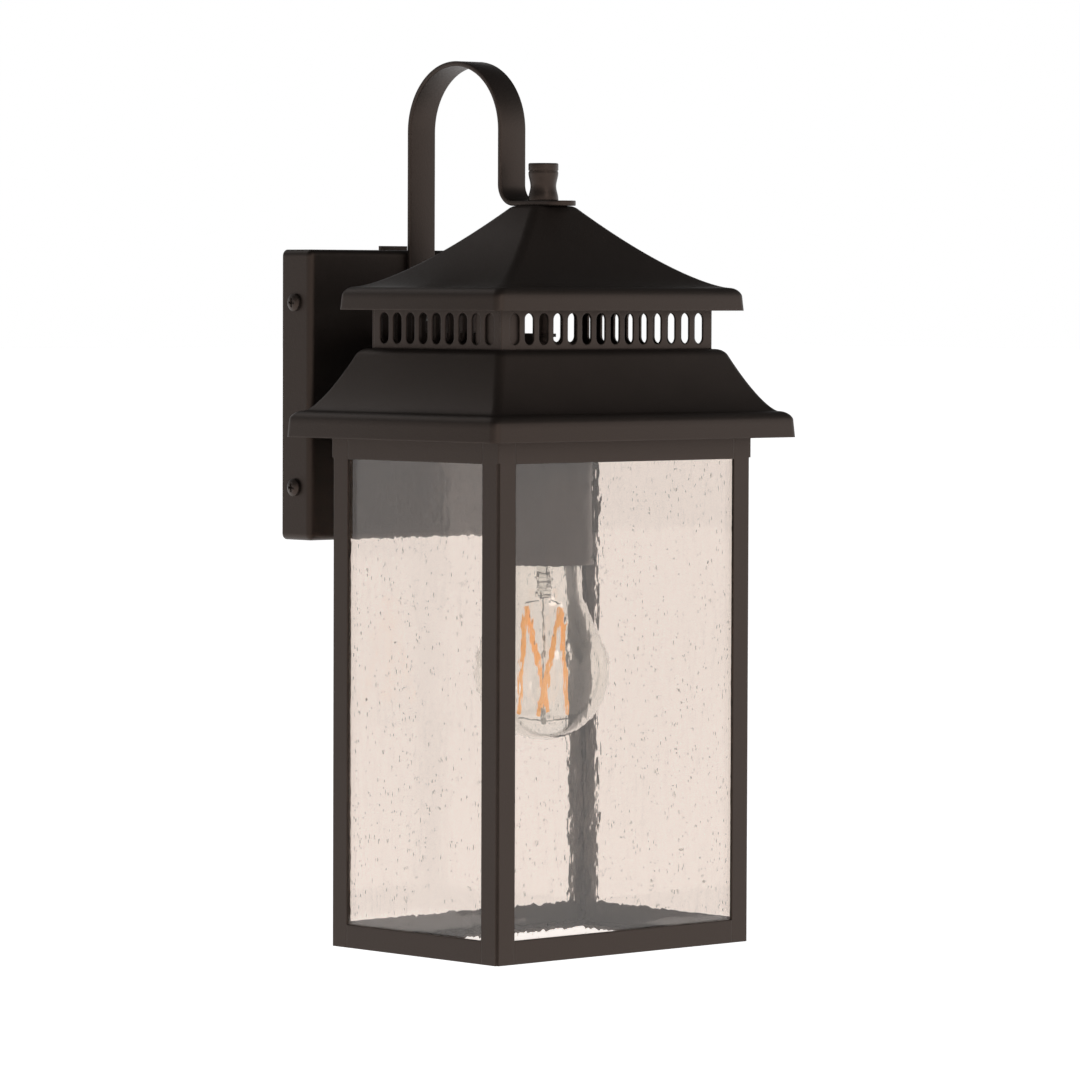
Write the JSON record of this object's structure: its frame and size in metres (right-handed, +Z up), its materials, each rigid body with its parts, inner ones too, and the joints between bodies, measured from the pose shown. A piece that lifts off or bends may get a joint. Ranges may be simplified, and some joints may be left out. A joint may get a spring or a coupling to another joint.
{
  "type": "outdoor wall lantern",
  "caption": "Dark bronze outdoor wall lantern with a looped strap arm, a two-tier vented roof, seeded glass panes and a filament lamp.",
  "frame": {"origin": "centre of the wall face of the backplate", "axes": "+Y into the wall, -Y out of the wall towards the room, +X right seen from the front, +Z up"},
  "size_m": [0.188, 0.174, 0.4018],
  "materials": {
    "bronze_plate": "satin",
    "bronze_arm": "satin",
    "bronze_screws": "satin",
    "bronze_turned": "satin",
    "bronze_roof": "satin",
    "bronze_frame": "satin",
    "bronze_cup": "satin",
    "zinc_steel": "satin",
    "black_steel": "satin",
    "green_screw": "satin",
    "copper": "satin",
    "black_plastic": "matte",
    "lead_black": "matte",
    "lead_white": "matte",
    "seeded_glass": "gloss",
    "lamp_glass": "gloss",
    "porcelain": "gloss",
    "brass": "satin",
    "solder": "satin",
    "black_glass": "gloss",
    "nickel": "satin",
    "support_wire": "satin",
    "filament": "satin"
  },
  "bodies": {
    "lantern": {"backplate": "bronze_plate", "wall_bracket": "bronze_plate", "side_screws": "bronze_screws", "ground_screw": "green_screw", "ground_lead": "copper", "arm_strap": "bronze_arm", "arm_channel": "bronze_arm", "arm_screws": "zinc_steel", "arm_nuts": "zinc_steel", "wire_bushing": "black_plastic", "lead_black": "lead_black", "lead_white": "lead_white", "threaded_rod": "black_steel", "channel_nut": "black_steel", "rod_washer": "zinc_steel", "rod_nut": "zinc_steel", "upper_roof": "bronze_roof", "gallery_front": "bronze_roof", "gallery_back": "bronze_roof", "gallery_left": "bronze_roof", "gallery_right": "bronze_roof", "gallery_seam_angle": "bronze_roof", "lower_roof": "bronze_roof", "soffit_plate": "bronze_roof", "post_front_left": "bronze_frame", "post_front_right": "bronze_frame", "post_back_left": "bronze_frame", "post_back_right": "bronze_frame", "bottom_rail_front": "bronze_frame", "bottom_rail_back": "bronze_frame", "bottom_rail_left": "bronze_frame", "bottom_rail_right": "bronze_frame", "top_rail_front": "bronze_frame", "top_rail_back": "bronze_frame", "top_rail_left": "bronze_frame", "top_rail_right": "bronze_frame", "glass_front": "seeded_glass", "glass_back": "seeded_glass", "glass_left": "seeded_glass", "glass_right": "seeded_glass", "glass_clips": "bronze_frame", "socket_cup": "bronze_cup", "holder_bridge": "zinc_steel", "holder_screws": "zinc_steel", "holder_body": "porcelain", "holder_shell": "brass", "holder_contact": "brass"},
    "lamp_travel": {"bulb_contact": "solder"},
    "lamp": {"bulb_insulator": "black_glass", "bulb_base": "nickel", "bulb_glass": "lamp_glass", "bulb_stem": "lamp_glass", "bulb_wires": "support_wire", "bulb_filaments": "filament"},
    "finial_nut": {"finial": "bronze_turned"}
  },
  "joints": [
    {"name": "lamp_out", "type": "slide", "parent": "lantern", "child": "lamp_travel", "axis": [0, 0, -1], "range_m": [0, 0.0256]},
    {"name": "lamp_turn", "type": "hinge", "parent": "lamp_travel", "child": "lamp", "pos_m": [0, -0.1035, -0.041], "axis": [0, 0, -1], "range_deg": [0, 2520]},
    {"name": "finial_lift", "type": "slide", "parent": "lantern", "child": "finial_nut", "axis": [0, 0, 1], "range_m": [0, 0.012]}
  ],
  "couplings": [
    {"joint": "lamp_out", "follows": "lamp_turn", "m_per_rad": 0.00057773}
  ]
}
